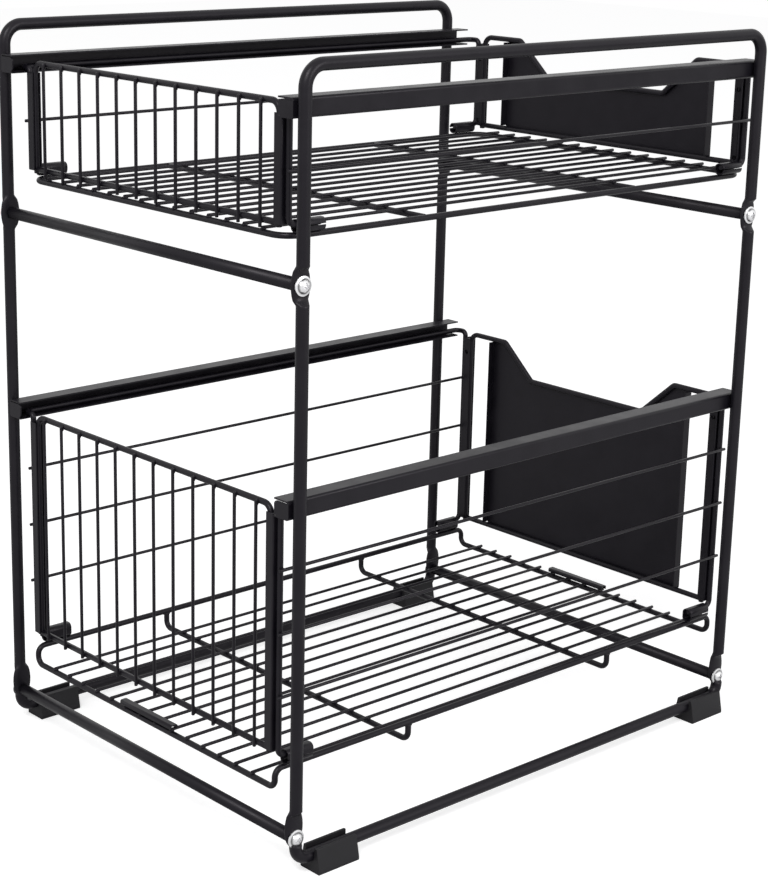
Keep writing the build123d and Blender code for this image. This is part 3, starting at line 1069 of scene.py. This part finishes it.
    def tray(self) -> None:
        """Form the tray's rim, cross wires and lengthwise wires with their welds."""
        size = self.sizes
        thick, thin = self.formers()
        rear, front = self.rim_rear_y + size.shift, self.rim_front_y + size.shift
        middle = (self.rear_y + self.front_y) / 2
        x, side_z, end_z = self.rim_x, size.rim_side_z, size.rim_end_z
        dropped = side_z > end_z
        for end in (rear, front):
            if dropped:
                corners = [
                    (x, middle, side_z),
                    (x, end, side_z),
                    (x, end, end_z),
                    (-x, end, end_z),
                    (-x, end, side_z),
                    (-x, middle, side_z),
                ]
                radii = [self.drop_bend / 1000] * 4
            else:
                corners = [
                    (x, middle, side_z),
                    (x, end, side_z),
                    (-x, end, side_z),
                    (-x, middle, side_z),
                ]
                radii = [self.rim_bend / 1000] * 2
            thick.run([place(*corner) for corner in corners], radii, closed=True)
        crosses = (middle - self.cross_offset, middle + self.cross_offset)
        reach = x - self.wire + self.cross_butt
        for y in crosses:
            if dropped:
                tip = side_z - self.wire + self.sink
                corners = [(x, y, tip), (x, y, end_z), (-x, y, end_z), (-x, y, tip)]
                points = [place(*corner) for corner in corners]
                thick.run(points, [self.drop_bend / 1000] * 2)
                for sign in (-1, 1):
                    spot = place(sign * x, y, side_z - self.wire)
                    thick.weld(spot, Vector((0, 1, 0)), self.rim_weld)
            else:
                thick.straight(place(-reach, y, end_z), place(reach, y, end_z))
        top = end_z + self.stand
        for wire_x in self.spread(self.lengthwise, size.longitudinal_pitch):
            thin.straight(
                place(wire_x, rear + self.tray_rear_over, top),
                place(wire_x, front - self.tray_front_over, top),
            )
            for y in (rear, front, *crosses):
                spot = place(wire_x, y, end_z + self.wire)
                thin.weld(spot, Vector((0, 1, 0)), self.tray_weld)
        self.finish(thick, "wire_tray", "tray")


# ------------------------------------------------------------------- the studio


@dataclass
class Studio:
    """Pale floor, white surround, soft lamps and the camera."""

    eye: tuple = (-1022.709, 951.218, 608.557)
    right: tuple = (-0.666145, -0.745579, 0.019035)
    up: tuple = (0.208659, -0.161804, 0.964511)
    back: tuple = (-0.716039, 0.646476, 0.263357)
    focal: float = 2050.815
    centre: tuple = (350.931, 415.046)
    frame: tuple = (768, 882)
    sensor: float = 36.0
    floor_half: float = 6.0
    floor_glow: float = 0.565
    world_light: float = 0.5

    def build(self) -> None:
        """Set up the floor, the surround, the lamps and the camera."""
        self.floor()
        self.surround()
        self.lamps()
        self.camera()

    def floor(self) -> None:
        """A wide pale floor that keeps the object's shadow."""
        mesh = bmesh.new()
        bmesh.ops.create_grid(mesh, x_segments=4, y_segments=4, size=self.floor_half)
        data = bpy.data.meshes.new("floor")
        mesh.to_mesh(data)
        mesh.free()
        floor = bpy.data.objects.new("floor", data)
        bpy.context.scene.collection.objects.link(floor)
        bench = Bench.material("pale_floor")
        grain = bench.noise(30.0, 3.0)
        diffuse = bench.node(
            "ShaderNodeBsdfDiffuse",
            {},
            {"Color": bench.blend(grain, (0.80, 0.80, 0.805), (0.82, 0.82, 0.825))},
        )
        seen = bench.node("ShaderNodeLightPath", {}, {}, "Is Camera Ray")
        glow = bench.node(
            "ShaderNodeEmission",
            {},
            {"Color": (1.0, 1.0, 1.0, 1.0), "Strength": seen * self.floor_glow},
        )
        both = bench.node("ShaderNodeAddShader", {}, {0: diffuse, 1: glow})
        bench.close("ShaderNodeOutputMaterial", both)
        data.materials.append(bench.owner)

    def surround(self) -> None:
        """A white surround for the camera and for reflections, dimmer as a light."""
        world = bpy.data.worlds.new("surround")
        bpy.context.scene.world = world
        bench = Bench(world)
        words = ("Is Camera Ray", "Is Glossy Ray", "Is Transmission Ray")
        camera, glossy, passing = (
            bench.node("ShaderNodeLightPath", {}, {}, word) for word in words
        )
        seen = camera.most(glossy).most(passing)
        strength = self.world_light + (1.0 - self.world_light) * seen
        light = bench.node(
            "ShaderNodeBackground", {}, {"Color": (1.0, 1.0, 1.0, 1.0), "Strength": strength}
        )
        bench.close("ShaderNodeOutputWorld", light)

    def lamps(self) -> None:
        """Two large soft lamps."""
        for name, at, aim, size, power in (
            ("key", (-1.3, 1.9, 2.3), (0, 0, 0.2), 1.2, 46.0),
            ("fill", (-2.2, -0.6, 1.1), (0, 0, 0.25), 0.9, 16.0),
        ):
            lamp = bpy.data.lights.new(name, "AREA")
            lamp.shape = "SQUARE"
            lamp.size = size
            lamp.energy = power
            holder = bpy.data.objects.new(name, lamp)
            holder.location = at
            holder.rotation_euler = (Vector(at) - Vector(aim)).to_track_quat("Z", "Y").to_euler()
            bpy.context.scene.collection.objects.link(holder)

    def camera(self) -> None:
        """The camera at the photograph's angle."""
        lens = bpy.data.cameras.new("camera")
        width, height = self.frame
        lens.sensor_fit = "HORIZONTAL"
        lens.sensor_width = self.sensor
        lens.lens = self.sensor * self.focal / width
        lens.shift_x = (width / 2 - self.centre[0]) / width
        lens.shift_y = (self.centre[1] - height / 2) / width
        lens.clip_start = 0.01
        holder = bpy.data.objects.new("camera", lens)
        turn = Matrix((self.right, self.up, self.back)).transposed().to_4x4()
        holder.matrix_world = Matrix.Translation(place(*self.eye)) @ turn
        bpy.context.scene.collection.objects.link(holder)
        bpy.context.scene.camera = holder
        bpy.context.scene.view_settings.view_transform = "Standard"


def main() -> None:
    """Build the rack and its studio."""
    logging.basicConfig(level=logging.INFO, format="%(name)s: %(message)s")
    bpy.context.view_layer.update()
    coat = PowderCoat("wire_powder_coat").material()
    tube_coat = PowderCoat("tube_powder_coat", roughness=0.38).material()
    rail_coat = PowderCoat("rail_powder_coat", roughness=0.36).material()
    sheet_coat = PowderCoat("sheet_powder_coat", roughness=0.44).material()
    zinc = ZincPlate("zinc_plate").material()
    steel = PlainSteel("plug_steel").material()
    plastic = MouldedPlastic("foot_plastic").material()
    TubeFrame(tube_coat, zinc, steel, plastic).build()
    SlideRails(rail_coat).build()
    upper = BasketSizes(
        shift=-3.5,
        slider_z=469.3,
        rear_wire_z=473.2,
        ear_wire_z=472.4,
        bottom_wire_z=403.4,
        stub_z=402.8,
        rim_side_z=395.8,
        rim_end_z=395.8,
        side_grid_z=(434.5,),
        vertical_pitch=20.25,
        longitudinal_pitch=17.1,
        upright_over=2.4,
    )
    lower = BasketSizes(
        shift=0.0,
        slider_z=233.6,
        rear_wire_z=233.5,
        ear_wire_z=233.2,
        bottom_wire_z=76.0,
        stub_z=72.6,
        rim_side_z=63.6,
        rim_end_z=51.0,
        side_grid_z=(194.5, 153.5, 112.4),
        vertical_pitch=20.7,
        longitudinal_pitch=16.8,
        upright_over=0.4,
    )
    Basket(Level.UPPER, upper, coat, sheet_coat).build()
    Basket(Level.LOWER, lower, coat, sheet_coat).build()
    Studio().build()


if __name__ == "__main__":
    main()
